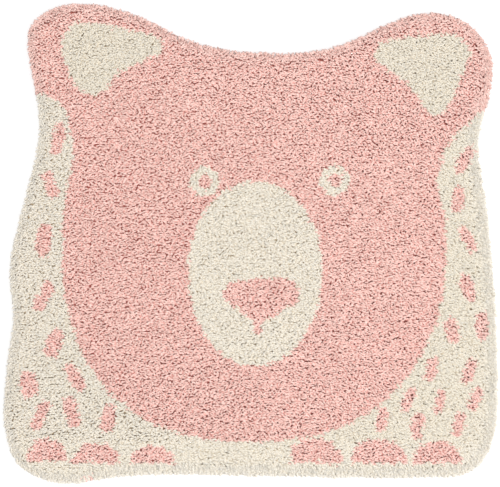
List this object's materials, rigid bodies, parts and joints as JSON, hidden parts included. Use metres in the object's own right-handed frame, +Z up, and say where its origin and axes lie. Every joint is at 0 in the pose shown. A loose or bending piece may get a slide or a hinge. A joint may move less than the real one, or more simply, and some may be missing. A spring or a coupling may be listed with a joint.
{
  "type": "bear shaped kids rug",
  "caption": "Flat shag rug in the shape of a bear's head, with a pale muzzle, ears and flanks on pink, which lies loose on a floor.",
  "frame": {"origin": "middle of the rug's width and length, on the flat underside", "axes": "+Z up from the floor, +Y from the hem under the chin to the ears, +X to the right as seen from above"},
  "size_m": [1, 0.97, 0.02],
  "materials": {
    "pink_pile": "matt twisted shag yarn, dusty pink",
    "cream_pile": "matt twisted shag yarn, warm cream",
    "ground_cloth": "plain woven ground that the yarn is tufted into, off-white"
  },
  "bodies": {
    "root": {"rug": "pink_pile"}
  },
  "joints": []
}
